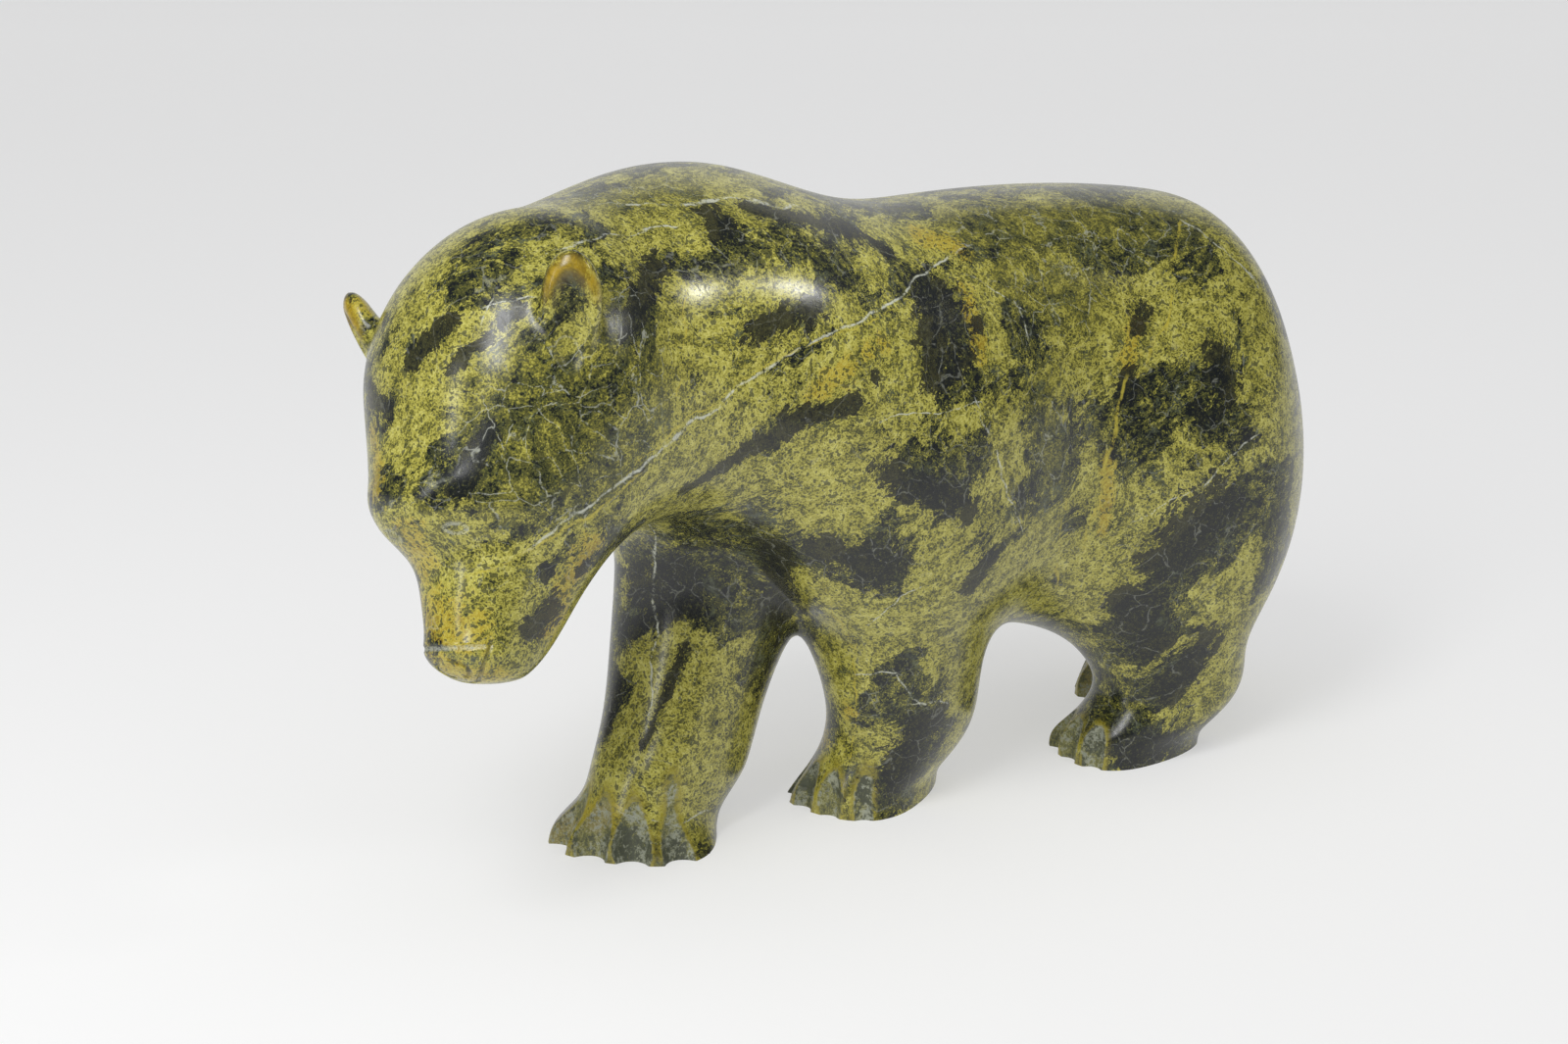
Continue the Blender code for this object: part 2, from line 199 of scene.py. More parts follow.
ANKLE = 18.0
LOFT_STEPS = 600


def spline(knots, values, at):
    """Natural cubic spline through the rows of values, one row for each place in at."""
    knots = np.asarray(knots, float)
    values = np.asarray(values, float)
    gaps = np.diff(knots)
    count = len(knots)
    system = np.eye(count)
    target = np.zeros_like(values)
    for i in range(1, count - 1):
        system[i, i - 1:i + 2] = gaps[i - 1], 2 * (gaps[i - 1] + gaps[i]), gaps[i]
        target[i] = 3 * ((values[i + 1] - values[i]) / gaps[i] - (values[i] - values[i - 1]) / gaps[i - 1])
    bend = np.linalg.solve(system, target)
    i = np.clip(np.searchsorted(knots, at, side="right") - 1, 0, count - 2)
    step = (at - knots[i])[:, None]
    gap = gaps[i][:, None]
    slope = (values[i + 1] - values[i]) / gap - gap * (2 * bend[i] + bend[i + 1]) / 3
    return values[i] + step * (slope + step * (bend[i] + step * (bend[i + 1] - bend[i]) / (3 * gap)))


def heading(turned, nod=0.0, lean=0.0):
    """Columns forward, left and up of a part facing -X, turned to its left, leaned and then nodded down."""
    turned, nod, lean = np.radians([turned, nod, lean])
    ahead = np.array([-math.cos(turned), -math.sin(turned), 0])
    left = np.array([math.sin(turned), -math.cos(turned), 0]) * math.cos(lean)
    left[2] = math.sin(lean)
    forward = ahead * math.cos(nod) - np.cross(ahead, left) * math.sin(nod)
    return np.column_stack([forward, left, np.cross(forward, left)])


class Loft:
    """Closed form drawn through oval sections, which are read from a fine table of the spline."""

    def __init__(self, stations, power, rounds, origin=(0, 0, 0), axes=np.eye(3)):
        stations = np.array(stations, float)
        self.along = np.linspace(stations[0, 0], stations[-1, 0], LOFT_STEPS)
        self.table = spline(stations[:, 0], stations[:, 1:], self.along).T
        self.power = power
        self.rounds = rounds
        self.origin = np.array(origin, float)
        self.axes = np.array(axes)

    def distance(self, points):
        return self.inset(*((points - self.origin) @ self.axes).T)

    def inset(self, along, across, up):
        centre, height, wide, high = (np.interp(along, self.along, column) for column in self.table)
        start, stop = self.rounds
        end = np.maximum((along - self.along[-1] + stop) / stop, 0)
        if start:
            end = np.maximum(end, (self.along[0] + start - along) / start)
        oval = np.abs((across - centre) / wide) ** self.power + np.abs((up - height) / high) ** self.power
        return (np.hypot(oval ** (1 / self.power), end) - 1) * np.minimum(wide, high)


class Egg:
    """Ellipsoid with its radii along the given axes."""

    def __init__(self, centre, radii, axes=np.eye(3)):
        self.centre = np.array(centre, float)
        self.radii = np.array(radii, float)
        self.axes = np.array(axes)
        self.reach = self.radii.max()

    def distance(self, points):
        local = (points - self.centre) @ self.axes
        reach = np.linalg.norm(local / self.radii, axis=1)
        slope = np.linalg.norm(local / self.radii ** 2, axis=1)
        return reach * (reach - 1) / np.maximum(slope, 1e-9)


class Neck:
    """Tapered round bar from inside the withers to inside the skull."""

    def __init__(self):
        self.start = np.array(WITHERS, float)
        self.line = np.array(NAPE, float) - self.start
        self.centre = self.start + self.line / 2
        self.reach = WITHERS_RADIUS + np.linalg.norm(self.line) / 2

    def distance(self, points):
        share = np.clip((points - self.start) @ self.line / (self.line @ self.line), 0, 1)
        away = (points - self.start - share[:, None] * self.line) / (1, NECK_FLATNESS, 1)
        radius = WITHERS_RADIUS + (NAPE_RADIUS - WITHERS_RADIUS) * share ** 2 * (3 - 2 * share)
        return np.linalg.norm(away, axis=1) - radius


class Leg(Loft):
    """Leg drawn up its centre line, with a paw that turns and fans out below the ankle."""

    def __init__(self, foot, turned, splay, toe_angle, girth, path):
        steps = spline(PATH_HEIGHTS, path, np.clip(np.array(GIRTH_HEIGHTS, float), 0, PATH_HEIGHTS[-1]))
        stations = np.column_stack([GIRTH_HEIGHTS, steps, GIRTHS[girth]])
        forward, left, up = heading(turned).T
        axes = np.column_stack([up, forward, left])
        super().__init__(stations, GIRTH_POWER, (0, LEG_TOP_ROUND), (*foot, 0), axes)
        self.centre = self.origin + (0, 0, LEG_MIDDLE)
        self.reach = LEG_REACH
        self.ahead, self.aside, self.paw_length = stations[1, 1:4]
        self.splay = math.radians(splay)
        self.toe_angle = math.radians(toe_angle)

    def distance(self, points):
        height, forward, left = ((points - self.origin) @ self.axes).T
        low = np.clip(1 - height / ANKLE, 0, 1) ** 2
        swing = self.splay * low
        ahead = forward * np.cos(swing) + left * np.sin(swing)
        aside = left * np.cos(swing) - forward * np.sin(swing) - self.aside
        fan = 1 + PAW_FAN * low * np.clip((ahead - self.ahead) / self.paw_length, -1, 1)
        return self.inset(height, ahead, self.aside + aside / fan)

    def paw(self, height, ahead, aside):
        """Turns a direction given along the paw into the bear's own."""
        swing = complex(ahead, aside) * complex(math.cos(self.splay), math.sin(self.splay))
        return self.axes @ np.array([height, swing.real, swing.imag])


def join(first, second, softness):
    """Union of two forms whose seam is filled to a soft hollow."""
    overlap = np.maximum(softness - np.abs(first - second), 0) / softness
    return np.minimum(first, second) - overlap ** 3 * softness / 6


# Work further than this from the surface is not followed, in millimetres.
MARGIN = 4.0


def near(form, points, softness):
    """Which points are near enough to a form to be changed by it."""
    return ((points - form.centre) ** 2).sum(axis=1) < (form.reach + softness + MARGIN) ** 2


def add(stone, form, points, softness):
    """Runs one more form into the stone, worked out only near it."""
    here = near(form, points, softness)
    stone[here] = join(stone[here], form.distance(points[here]), softness)


def cut(stone, form, points, softness):
    """Takes a form out of the stone and rounds the edge that it leaves."""
    here = near(form, points, softness)
    stone[here] = -join(-stone[here], form.distance(points[here]), softness)


head_axes = heading(HEAD_TURN, HEAD_NOD, HEAD_LEAN)
trunk = Loft(TRUNK, TRUNK_POWER, (CHEST_ROUND, RUMP_ROUND))
muscles = [Egg(row[:3], row[3:]) for row in MUSCLES]
neck = Neck()
jaw = Loft(JAW, JAW_POWER, (SKULL_ROUND, NOSE_ROUND), HEAD_AT, head_axes)
forehead = Loft(FOREHEAD, FOREHEAD_POWER, (SKULL_ROUND, BROW_ROUND), HEAD_AT, head_axes)
legs = [Leg(**leg) for leg in LEGS.values()]
ears = []
ear_hollows = []

# The ears are flat oval tabs of the same stone, hollowed in front with a small gouge that runs out into the
# cheek, so that a thin rim is left, which lets the light through.
HOLLOW_RADII = (13, 5.8, 4.4)
HOLLOW_AT = (-3.5, 0, 5)
HOLLOW_EDGE = 1.5

for side, place in ((1, LEFT_EAR), (-1, RIGHT_EAR)):
    mirror = np.array([1, side, 1])
    tip = np.array(EAR_POINTS) / np.linalg.norm(EAR_POINTS)
    facing = np.array(EAR_FACES) - tip * (np.array(EAR_FACES) @ tip)
    facing = facing / np.linalg.norm(facing)
    ear_axes = head_axes @ (np.column_stack([tip, np.cross(tip, facing), facing]) * mirror[:, None])
    centre = np.array(HEAD_AT) + head_axes @ np.array(place, float)
    ears.append(Egg(centre, EAR_RADII, ear_axes))
    ear_hollows.append(Egg(centre + ear_axes @ np.array(HOLLOW_AT), HOLLOW_RADII, ear_axes))


def body(points):
    """Distance from each point to the stone before the toes, ears and face are cut, negative inside."""
    stone = trunk.distance(points)
    for muscle in muscles:
        add(stone, muscle, points, SOFT_MUSCLE)
    add(stone, neck, points, SOFT_NECK)
    in_head = ((points - jaw.origin) ** 2).sum(axis=1) < HEAD_REACH ** 2
    head = join(jaw.distance(points[in_head]), forehead.distance(points[in_head]), SOFT_BROW)
    stone[in_head] = join(stone[in_head], head, SOFT_HEAD)
    for ear in ears:
        add(stone, ear, points, SOFT_EAR)
    for leg in legs:
        add(stone, leg, points, SOFT_LEG)
    return stone


def rise(distance, points, probe=0.05):
    """How fast a distance grows along each axis, and the distance itself."""
    here = distance(points)
    return np.column_stack([(distance(points + step) - here) / probe for step in np.eye(3) * probe]), here


# The toes are scooped out of the finished paws with one stroke of a round gouge each, and left unpolished.
# The gouge is an egg that enters and leaves the paw at two heights. Both are shares of the toe's width.
TOES = (-1.5, -0.5, 0.5, 1.5)
GOUGE = (0.75, 0.53, 1.9)
GOUGE_ENDS = (-0.5, 1.3)
TOE_EDGE = 0.35

# How far from its middle a paw's surface is looked for, as a share of its length, and in how many steps.
SEEK_REACH = 1.5
SEEK_STEPS = 400


def paw_surface(leg, height, ahead):
    """Where a paw's surface lies at this height, in this direction from the paw's middle."""
    middle = leg.origin + leg.paw(height, leg.ahead, leg.aside)
    reaches = np.linspace(0, SEEK_REACH * leg.paw_length, SEEK_STEPS)
    outside = leg.distance(middle + reaches[:, None] * ahead) > 0
    return middle + reaches[np.argmax(outside)] * ahead


toe_scoops = []
for leg in legs:
    toe_width = leg.toe_angle * leg.paw_length
    gouge = toe_width * np.array(GOUGE)
    for toe in TOES:
        ahead = leg.paw(0, math.cos(leg.toe_angle * toe), math.sin(leg.toe_angle * toe))
        low, high = (paw_surface(leg, toe_width * height, ahead) for height in GOUGE_ENDS)
        length = np.linalg.norm(high - low)
        stroke = (high - low) / length
        across = np.cross(stroke, rise(leg.distance, (low + high)[None] / 2)[0][0])
        across = across / np.linalg.norm(across)
        out = np.cross(across, stroke)
        place = (low + high) / 2 + out * gouge[0] * math.sqrt(1 - (length / 2 / gouge[2]) ** 2)
        toe_scoops.append(Egg(place, gouge, np.column_stack([out, across, stroke])))


# The face is only drawn into the stone with a fine burr: a ring round each eye, a groove behind the nose pad,
# the nostrils and the mouth. Places are along, left and up in the head's own frame, in millimetres, and each
# side mirrors the other.
EYE = (35.6, 9.1, 20.1)
EYE_ALONG = (-0.13, 0.83, -0.55)
EYE_FACES = (0.84, 0.38, 0.39)
EYE_SIZE = (2.7, 1.5)
NOSE_PAD = ((60.7, 0, 5.8), (60.4, 5, 5), (59.4, 9.6, 2.4))
MOUTH = ((64.6, 0, -5.6), (64, 3.2, -4.4), (62.2, 7.4, -0.6), (58.3, 10.6, 1.4))
NOSTRIL = ((62.6, 1.4, 4.2), (63.6, 4.6, 1.8), (64.4, 3.6, -0.9), (64.6, 1.8, -1.6))

# Radius of each burr and how deep it is drawn.
EYE_BURR = (0.5, 0.35)
NOSE_PAD_BURR = (0.8, 0.4)
MOUTH_BURR = (0.6, 0.5)
NOSTRIL_BURR = (0.65, 0.5)
LINE_EDGE = 0.5
LINE_ROUNDS = 4
LINE_STEPS = 16
RING_STEPS = 25


class Line:
    """A burr drawn along a curve that lies on the stone."""

    def __init__(self, places, radius, depth):
        curve = np.array(HEAD_AT) + np.array(places, float) @ head_axes.T
        for _ in range(LINE_ROUNDS):
            slope, here = rise(body, curve)
            curve = curve - (here / (slope ** 2).sum(axis=1))[:, None] * slope
        slope = slope / np.linalg.norm(slope, axis=1)[:, None]
        self.skin = curve
        self.curve = curve + slope * (radius - depth)
        self.radius = radius
        self.centre = (curve.min(axis=0) + curve.max(axis=0)) / 2
        self.reach = np.linalg.norm(curve - self.centre, axis=1).max() + radius

    def distance(self, points):
        return away_from(self.curve, points) - self.radius


def away_from(curve, points):
    """How far each point is from a curve of straight steps."""
    nearest = np.full(len(points), np.inf)
    for start, stop in zip(curve, curve[1:]):
        line = stop - start
        share = np.clip((points - start) @ line / (line @ line), 0, 1)
        nearest = np.minimum(nearest, ((points - start - share[:, None] * line) ** 2).sum(axis=1))
    return np.sqrt(nearest)


def drawn(places):
    """Smooth curve through a few places on the face."""
    places = np.array(places, float)
    steps = np.linspace(0, len(places) - 1, LINE_STEPS)
    return spline(np.arange(len(places)), places, steps)


chalk_lines = []
dark_lines = []
for side in (1, -1):
    mirror = np.array([1, side, 1])
    along = np.array(EYE_ALONG) / np.linalg.norm(EYE_ALONG)
    over = np.cross(EYE_FACES, along)
    over = over / np.linalg.norm(over)
    turns = np.linspace(0, 2 * math.pi, RING_STEPS)[:, None]
    ring = np.array(EYE) + EYE_SIZE[0] * np.cos(turns) * along + EYE_SIZE[1] * np.sin(turns) * over
    chalk_lines.append(Line(ring * mirror, *EYE_BURR))
    chalk_lines.append(Line(drawn(NOSE_PAD) * mirror, *NOSE_PAD_BURR))
    dark_lines.append(Line(drawn(MOUTH) * mirror, *MOUTH_BURR))
    dark_lines.append(Line(drawn(NOSTRIL) * mirror, *NOSTRIL_BURR))


def carved(points):
    """Distance from each point to the finished surface."""
    stone = body(points)
    for hollow in ear_hollows:
        cut(stone, hollow, points, HOLLOW_EDGE)
    for scoop in toe_scoops:
        cut(stone, scoop, points, TOE_EDGE)
    for line in chalk_lines + dark_lines:
        cut(stone, line, points, LINE_EDGE)
    return stone


# The bear's skin of fine triangles. It starts from the solid, with the paws drawn on below the floor so that
# their soles can be sawn off flat again, and every corner is moved on to the carved surface.
FINE = 1.0
WELD = 0.001
SOLE_HEIGHT = 0.01
BELOW_FLOOR = 4.0
SAW_TOLERANCE = 1e-4
LEAST_SLOPE = 0.05
BODY_TRIANGLES = 120000
DETAIL_REACH = 3.0
LINE_REACH = 1.8
SHARP_EDGE = math.radians(40)


def modified(mesh, kind, **settings):
    """The mesh as a modifier leaves it."""
    worker = bpy.data.objects.new("worker", mesh)
    bpy.context.scene.collection.objects.link(worker)
    modifier = worker.modifiers.new(kind.title(), kind)
    for name, value in settings.items():
        setattr(modifier, name, value)
    result = bpy.data.meshes.new_from_object(worker.evaluated_get(bpy.context.evaluated_depsgraph_get()))
    bpy.data.objects.remove(worker)
    return result


def corners(mesh):
    """The places of a mesh's corners, one row for each."""
    points = np.empty(len(mesh.vertices) * 3)
    mesh.vertices.foreach_get("co", points)
    return points.reshape(-1, 3)


def settle(mesh, rounds, stride):
    """Moves every corner above the sawing waste along the slope of the form on to the carved surface."""
    points = corners(mesh)
    kept = points[:, 2] > -BELOW_FLOOR / 2
    here = points[kept]
    for _ in range(rounds):
        slope, height = rise(carved, here)
        steep = np.maximum((slope ** 2).sum(axis=1), LEAST_SLOPE)
        here = here - np.clip(height / steep, -stride, stride)[:, None] * slope
    points[kept] = here
    mesh.vertices.foreach_set("co", points.ravel())
    mesh.update()


def refine(mesh, forms, reach):
    """Splits the triangles that touch the skin of the given forms into four."""
    points = corners(mesh)
    close = np.zeros(len(points), bool)
    for form in forms:
        here = near(form, points, reach - MARGIN)
        close[here] |= np.abs(form.distance(points[here])) < reach
    fine = bmesh.new()
    fine.from_mesh(mesh)
    fine.verts.ensure_lookup_table()
    edges = [edge for edge in fine.edges if close[edge.verts[0].index] and close[edge.verts[1].index]]
    bmesh.ops.subdivide_edges(fine, edges=edges, cuts=1, use_grid_fill=True)
    bmesh.ops.triangulate(fine, faces=fine.faces[:])
    fine.to_mesh(mesh)
    fine.free()


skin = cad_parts["bear"].data.copy()
skin.transform(Matrix.Translation(MIDDLE) @ Matrix.Scale(MILLIMETRES, 4))
welded = bmesh.new()
welded.from_mesh(skin)
bmesh.ops.remove_doubles(welded, verts=welded.verts[:], dist=WELD)
for corner in welded.verts:
    if corner.co.z < SOLE_HEIGHT:
        corner.co.z = -BELOW_FLOOR
welded.to_mesh(skin)
welded.free()
skin = modified(skin, "REMESH", mode="VOXEL", voxel_size=FINE)
settle(skin, 2, FINE)
skin = modified(skin, "SMOOTH", factor=0.5, iterations=2)
settle(skin, 2, FINE)
skin.calc_loop_triangles()
skin = modified(skin, "DECIMATE", ratio=BODY_TRIANGLES / len(skin.loop_triangles))
refine(skin, toe_scoops + ear_hollows + chalk_lines + dark_lines, DETAIL_REACH)
refine(skin, chalk_lines + dark_lines, LINE_REACH)
settle(skin, 3, FINE / 2)

sawn = bmesh.new()
sawn.from_mesh(skin)
everything = sawn.verts[:] + sawn.edges[:] + sawn.faces[:]
bmesh.ops.bisect_plane(sawn, geom=everything, dist=SAW_TOLERANCE, plane_no=(0, 0, 1), clear_inner=True)
bmesh.ops.holes_fill(sawn, edges=[edge for edge in sawn.edges if edge.is_boundary], sides=0)
bmesh.ops.triangulate(sawn, faces=sawn.faces[:])
bmesh.ops.recalc_face_normals(sawn, faces=sawn.faces[:])
sawn.to_mesh(skin)
sawn.free()
skin.transform(Matrix.Scale(1 / MILLIMETRES, 4) @ Matrix.Translation(-MIDDLE))
skin.name = "bear carving"
skin.shade_smooth()
skin.set_sharp_from_angle(angle=SHARP_EDGE)
bear = bpy.data.objects.new("bear_carving", skin)
bpy.context.scene.collection.objects.link(bear)
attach(bear, "root")
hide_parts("bear")

# The stone's colours. Serpentine is olive and yellow green, clouded with dark green, with patches of almost
# black magnetite and of ochre. Each patch is a soft stripe between two places on the stone, given as places
# in the picture, or for the hidden side as X and Z in millimetres.
spots = corners(skin)
plan_spots = spots * MILLIMETRES + MIDDLE
surface = BVHTree.FromPolygons([v.co for v in skin.vertices], [p.vertices for p in skin.polygons])


def seen(across, down):
    """The spot on the stone under a place in the picture, in metres."""
    return surface.ray_cast(camera.location, picture_ray(across, down))[0]


def hidden(along, height):
    """The spot on the bear's right flank at this X and Z in millimetres, in metres."""
    beside = Vector((along / MILLIMETRES, 1, height / MILLIMETRES))
    return surface.ray_cast(beside, Vector((0, -1, 0)))[0]


# Each stripe: two places and a radius in millimetres.
BLACK_SEEN = (
    ((958, 300), (950, 345), 8), ((945, 350), (955, 378), 7), ((892, 385), (892, 386), 3),
    ((985, 365), (985, 366), 4), ((1000, 318), (998, 335), 2),
    ((725, 218), (735, 228), 7), ((770, 215), (870, 235), 4.5), ((870, 235), (905, 258), 3),
    ((770, 340), (830, 312), 5), ((800, 430), (880, 410), 3.5), ((700, 500), (800, 440), 3),
    ((670, 270), (640, 330), 5), ((690, 590), (650, 600), 8), ((700, 615), (640, 640), 5),
    ((630, 690), (618, 750), 3.5), ((700, 660), (655, 760), 2), ((845, 560), (895, 580), 8),
    ((545, 640), (560, 625), 5.5), ((557, 583), (557, 584), 3), ((596, 577), (594, 580), 2.5),
    ((393, 418), (378, 404), 4), ((530, 315), (460, 380), 2.5), ((460, 330), (420, 370), 3),
    ((500, 440), (470, 500), 3), ((1152, 381), (1150, 400), 4.5), ((1239, 360), (1253, 392), 6),
    ((1237, 427), (1225, 420), 4), ((1271, 442), (1271, 443), 2.2), ((1164, 317), (1160, 335), 4),
    ((935, 745), (918, 785), 8), ((960, 730), (950, 735), 5), ((1240, 520), (1180, 570), 10),
    ((1150, 610), (1180, 660), 8), ((1200, 700), (1230, 650), 8), ((1150, 765), (1190, 760), 8),
    ((900, 480), (990, 520), 5), ((990, 600), (1010, 570), 4), ((790, 560), (800, 620), 6),
)
DARK_SEEN = (
    ((640, 330), (660, 420), 14), ((480, 250), (600, 230), 10), ((1120, 250), (1190, 240), 14),
    ((1060, 400), (1080, 520), 13), ((560, 390), (600, 470), 16),
    ((1200, 380), (1240, 440), 18), ((1160, 580), (1280, 540), 22), ((1160, 680), (1220, 640), 20),
    ((1120, 740), (1200, 760), 18), ((690, 590), (650, 620), 12), ((800, 560), (900, 560), 14),
    ((900, 700), (945, 760), 14), ((850, 790), (910, 800), 8),
    ((930, 470), (1000, 500), 12), ((850, 260), (760, 250), 12),
    ((1310, 480), (1290, 600), 10), ((640, 560), (740, 570), 12), ((1130, 430), (1180, 450), 12),
)
MOSS_SEEN = (
    ((560, 400), (600, 480), 22), ((640, 330), (660, 420), 15), ((1000, 230), (1190, 225), 18),
    ((1040, 290), (1100, 300), 16), ((520, 500), (570, 480), 14), ((1060, 400), (1075, 480), 10),
    ((600, 205), (700, 190), 10), ((500, 430), (510, 450), 12),
)
BRIGHT_SEEN = (
    ((760, 430), (900, 380), 18), ((830, 480), (900, 540), 18), ((950, 580), (990, 640), 14),
    ((880, 620), (860, 680), 12), ((1140, 300), (1230, 350), 12), ((1050, 560), (1120, 600), 18),
    ((1240, 480), (1120, 560), 15), ((1290, 330), (1300, 430), 12), ((720, 700), (760, 760), 12),
    ((470, 600), (520, 640), 14), ((420, 420), (420, 470), 8), ((460, 330), (420, 370), 10),
    ((1000, 300), (1010, 350), 8), ((690, 200), (760, 195), 10), ((680, 400), (700, 340), 8),
    ((600, 820), (700, 830), 10), ((1280, 560), (1250, 640), 8), ((660, 240), (720, 245), 7),
    ((700, 690), (650, 790), 13),
)
GOLD_SEEN = (
    ((418, 545), (430, 575), 7), ((440, 630), (475, 645), 9), ((380, 440), (384, 500), 4),
    ((455, 680), (500, 690), 7), ((600, 560), (560, 640), 6), ((900, 350), (830, 400), 4),
    ((867, 726), (868, 727), 3.5), ((1000, 360), (985, 300), 5), ((1160, 330), (1150, 370), 4),
    ((1125, 540), (1130, 470), 3), ((372, 310), (360, 315), 5), ((620, 830), (570, 850), 6),
    ((975, 250), (940, 240), 6), ((1110, 690), (1112, 700), 5),
)
BLACK_HIDDEN = (
    ((-60, 150), (-30, 140), 8), ((70, 120), (90, 95), 9), ((110, 60), (120, 40), 8), ((20, 70), (0, 60), 7),
)
DARK_HIDDEN = (
    ((-90, 150), (-20, 165), 24), ((40, 60), (60, 120), 22), ((120, 110), (100, 60), 26),
    ((-70, 70), (-75, 30), 16),
)
BRIGHT_HIDDEN = (((0, 120), (30, 100), 20), ((80, 150), (120, 150), 20), ((-110, 110), (-120, 80), 12))
GOLD_HIDDEN = (((-130, 110), (-140, 95), 8), ((50, 80), (70, 70), 6), ((-10, 40), (-15, 20), 6))


def painted(*groups):
    """Strength of a kind of patch on every corner: 1 at its middle, fading to 0 and below outside it."""
    strength = np.full(len(spots), -1.0)
    for place, stripes in groups:
        for start, stop, radius in stripes:
            start, stop = place(*start), place(*stop)
            line = np.array(stop - start)
            share = np.clip((spots - start) @ line / (line @ line), 0, 1)
            away = np.linalg.norm(spots - start - share[:, None] * line, axis=1)
            strength = np.maximum(strength, 1 - away * MILLIMETRES / radius)
    return strength


def on_skin(forms, reach):
    """1 on the corners that these forms have cut, fading out over reach millimetres."""
    cut_here = np.zeros(len(plan_spots))
    for form in forms:
        here = near(form, plan_spots, 0)
        share = 1 - np.abs(form.distance(plan_spots[here])) / reach
        cut_here[here] = np.maximum(cut_here[here], share)
    return cut_here


def beside_scoops(start, reach):
    """1 on the polished ridges that start beside the toe scoops, fading out over reach millimetres."""
    away = np.full(len(plan_spots), reach)
    for scoop in toe_scoops:
        here = near(scoop, plan_spots, 0)
        away[here] = np.minimum(away[here], scoop.distance(plan_spots[here]))
    return np.where(away > start, 1 - away / reach, 0)


def along_lines(lines, reach):
    """1 in the middle of the burr lines, fading out over reach millimetres."""
    drawn_here = np.zeros(len(plan_spots))
    for line in lines:
        here = near(line, plan_spots, 0)
        share = 1 - away_from(line.skin, plan_spots[here]) / reach
        drawn_here[here] = np.maximum(drawn_here[here], share)
    return drawn_here


# Where the light through an ear's rim starts and where it is full, in millimetres: away from the ear's skin,
# up towards its tip, forward to its front, and out from the hollow on the rim's inner and outer side.
RIM_SKIN = (3, 1)
RIM_UP = (-2, 4)
RIM_FRONT = (-1.5, 0.5)
RIM_INNER = (-0.32, 0.48)
RIM_OUTER = (3.52, 1.92)


def ramp(values, start, full):
    """0 at start and 1 at full, with a straight rise between."""
    return np.clip((values - start) / (full - start), 0, 1)


def rim_of_ears():
    """1 on the thin rims of the ears, outside their hollows."""
    rim = np.zeros(len(plan_spots))
    for ear, hollow in zip(ears, ear_hollows):
        local = (plan_spots - ear.centre) @ ear.axes
        on_ear = ramp(np.abs(ear.distance(plan_spots)), *RIM_SKIN)
        on_ear = on_ear * ramp(local[:, 0], *RIM_UP) * ramp(local[:, 2], *RIM_FRONT)
        away = hollow.distance(plan_spots)
        rim = np.maximum(rim, on_ear * ramp(away, *RIM_INNER) * ramp(away, *RIM_OUTER))
    return rim


marks = {
    "black": painted((seen, BLACK_SEEN), (hidden, BLACK_HIDDEN)),
    "dark": painted((seen, DARK_SEEN), (hidden, DARK_HIDDEN)),
    "moss": painted((seen, MOSS_SEEN)),
    "bright": painted((seen, BRIGHT_SEEN), (hidden, BRIGHT_HIDDEN)),
    "gold": painted((seen, GOLD_SEEN), (hidden, GOLD_HIDDEN)),
    "rim": rim_of_ears(),
    "chalk": along_lines(chalk_lines, reach=1.0),
    "groove_shade": along_lines(dark_lines, reach=0.9),
    "unpolished": on_skin(toe_scoops, reach=0.8),
    "ridge": beside_scoops(start=0.15, reach=2.4),
    "hollow": on_skin(ear_hollows, reach=1.0),
}
for name, strength in marks.items():
    skin.attributes.new(name, "FLOAT", "POINT").data.foreach_set("value", strength.astype(np.float32))

stone = bpy.data.materials.new("polished serpentine")
stone.use_nodes = True
stone.node_tree.nodes.clear()


class Grain:
    """A socket in the stone's material, so that what mixes in the stone can be written as sums."""

    def __init__(self, socket):
        self.socket = socket

    @staticmethod
    def node(kind, settings=None, sockets=None, out=0):
        """Adds a node with its settings first, then the values or links of its sockets."""
        node = stone.node_tree.nodes.new(kind)
        for name, value in (settings or {}).items():
            setattr(node, name, value)
        for name, value in (sockets or {}).items():
            if isinstance(value, Grain):
                stone.node_tree.links.new(value.socket, node.inputs[name])
            else:
                node.inputs[name].default_value = value
        return Grain(node.outputs[out])

    @staticmethod
    def maths(operation, *values):
        return Grain.node("ShaderNodeMath", {"operation": operation}, dict(enumerate(values)))

    def __add__(self, other):
        return Grain.maths("ADD", self, other)

    def __radd__(self, other):
        return Grain.maths("ADD", other, self)

    def __sub__(self, other):
        return Grain.maths("SUBTRACT", self, other)

    def __rsub__(self, other):
        return Grain.maths("SUBTRACT", other, self)

    def __mul__(self, other):
        return Grain.maths("MULTIPLY", self, other)

    def __rmul__(self, other):
        return Grain.maths("MULTIPLY", other, self)

    def __abs__(self):
        return Grain.maths("ABSOLUTE", self)

    def step(self, low, high):
        """0 below low and 1 above high, with a soft step between."""
        sockets = {"Value": self, "From Min": low, "From Max": high}
        return Grain.node("ShaderNodeMapRange", {"interpolation_type": "SMOOTHSTEP"}, sockets)


# Which socket is meant on nodes that have several of a kind.
NOISE_COLOUR = 1
VECTOR_NUMBER = 1
MARK_NUMBER = 2
MIXED_COLOUR = 2
OBJECT_PLACE = 3
MIX_FIRST = 6
MIX_SECOND = 7


def vector(operation, *values, out=0, **more):
    """Sum on vectors; VECTOR_NUMBER as out gives those that end in a number."""
    sockets = {**dict(enumerate(values)), **more}
    return Grain.node("ShaderNodeVectorMath", {"operation": operation}, sockets, out)


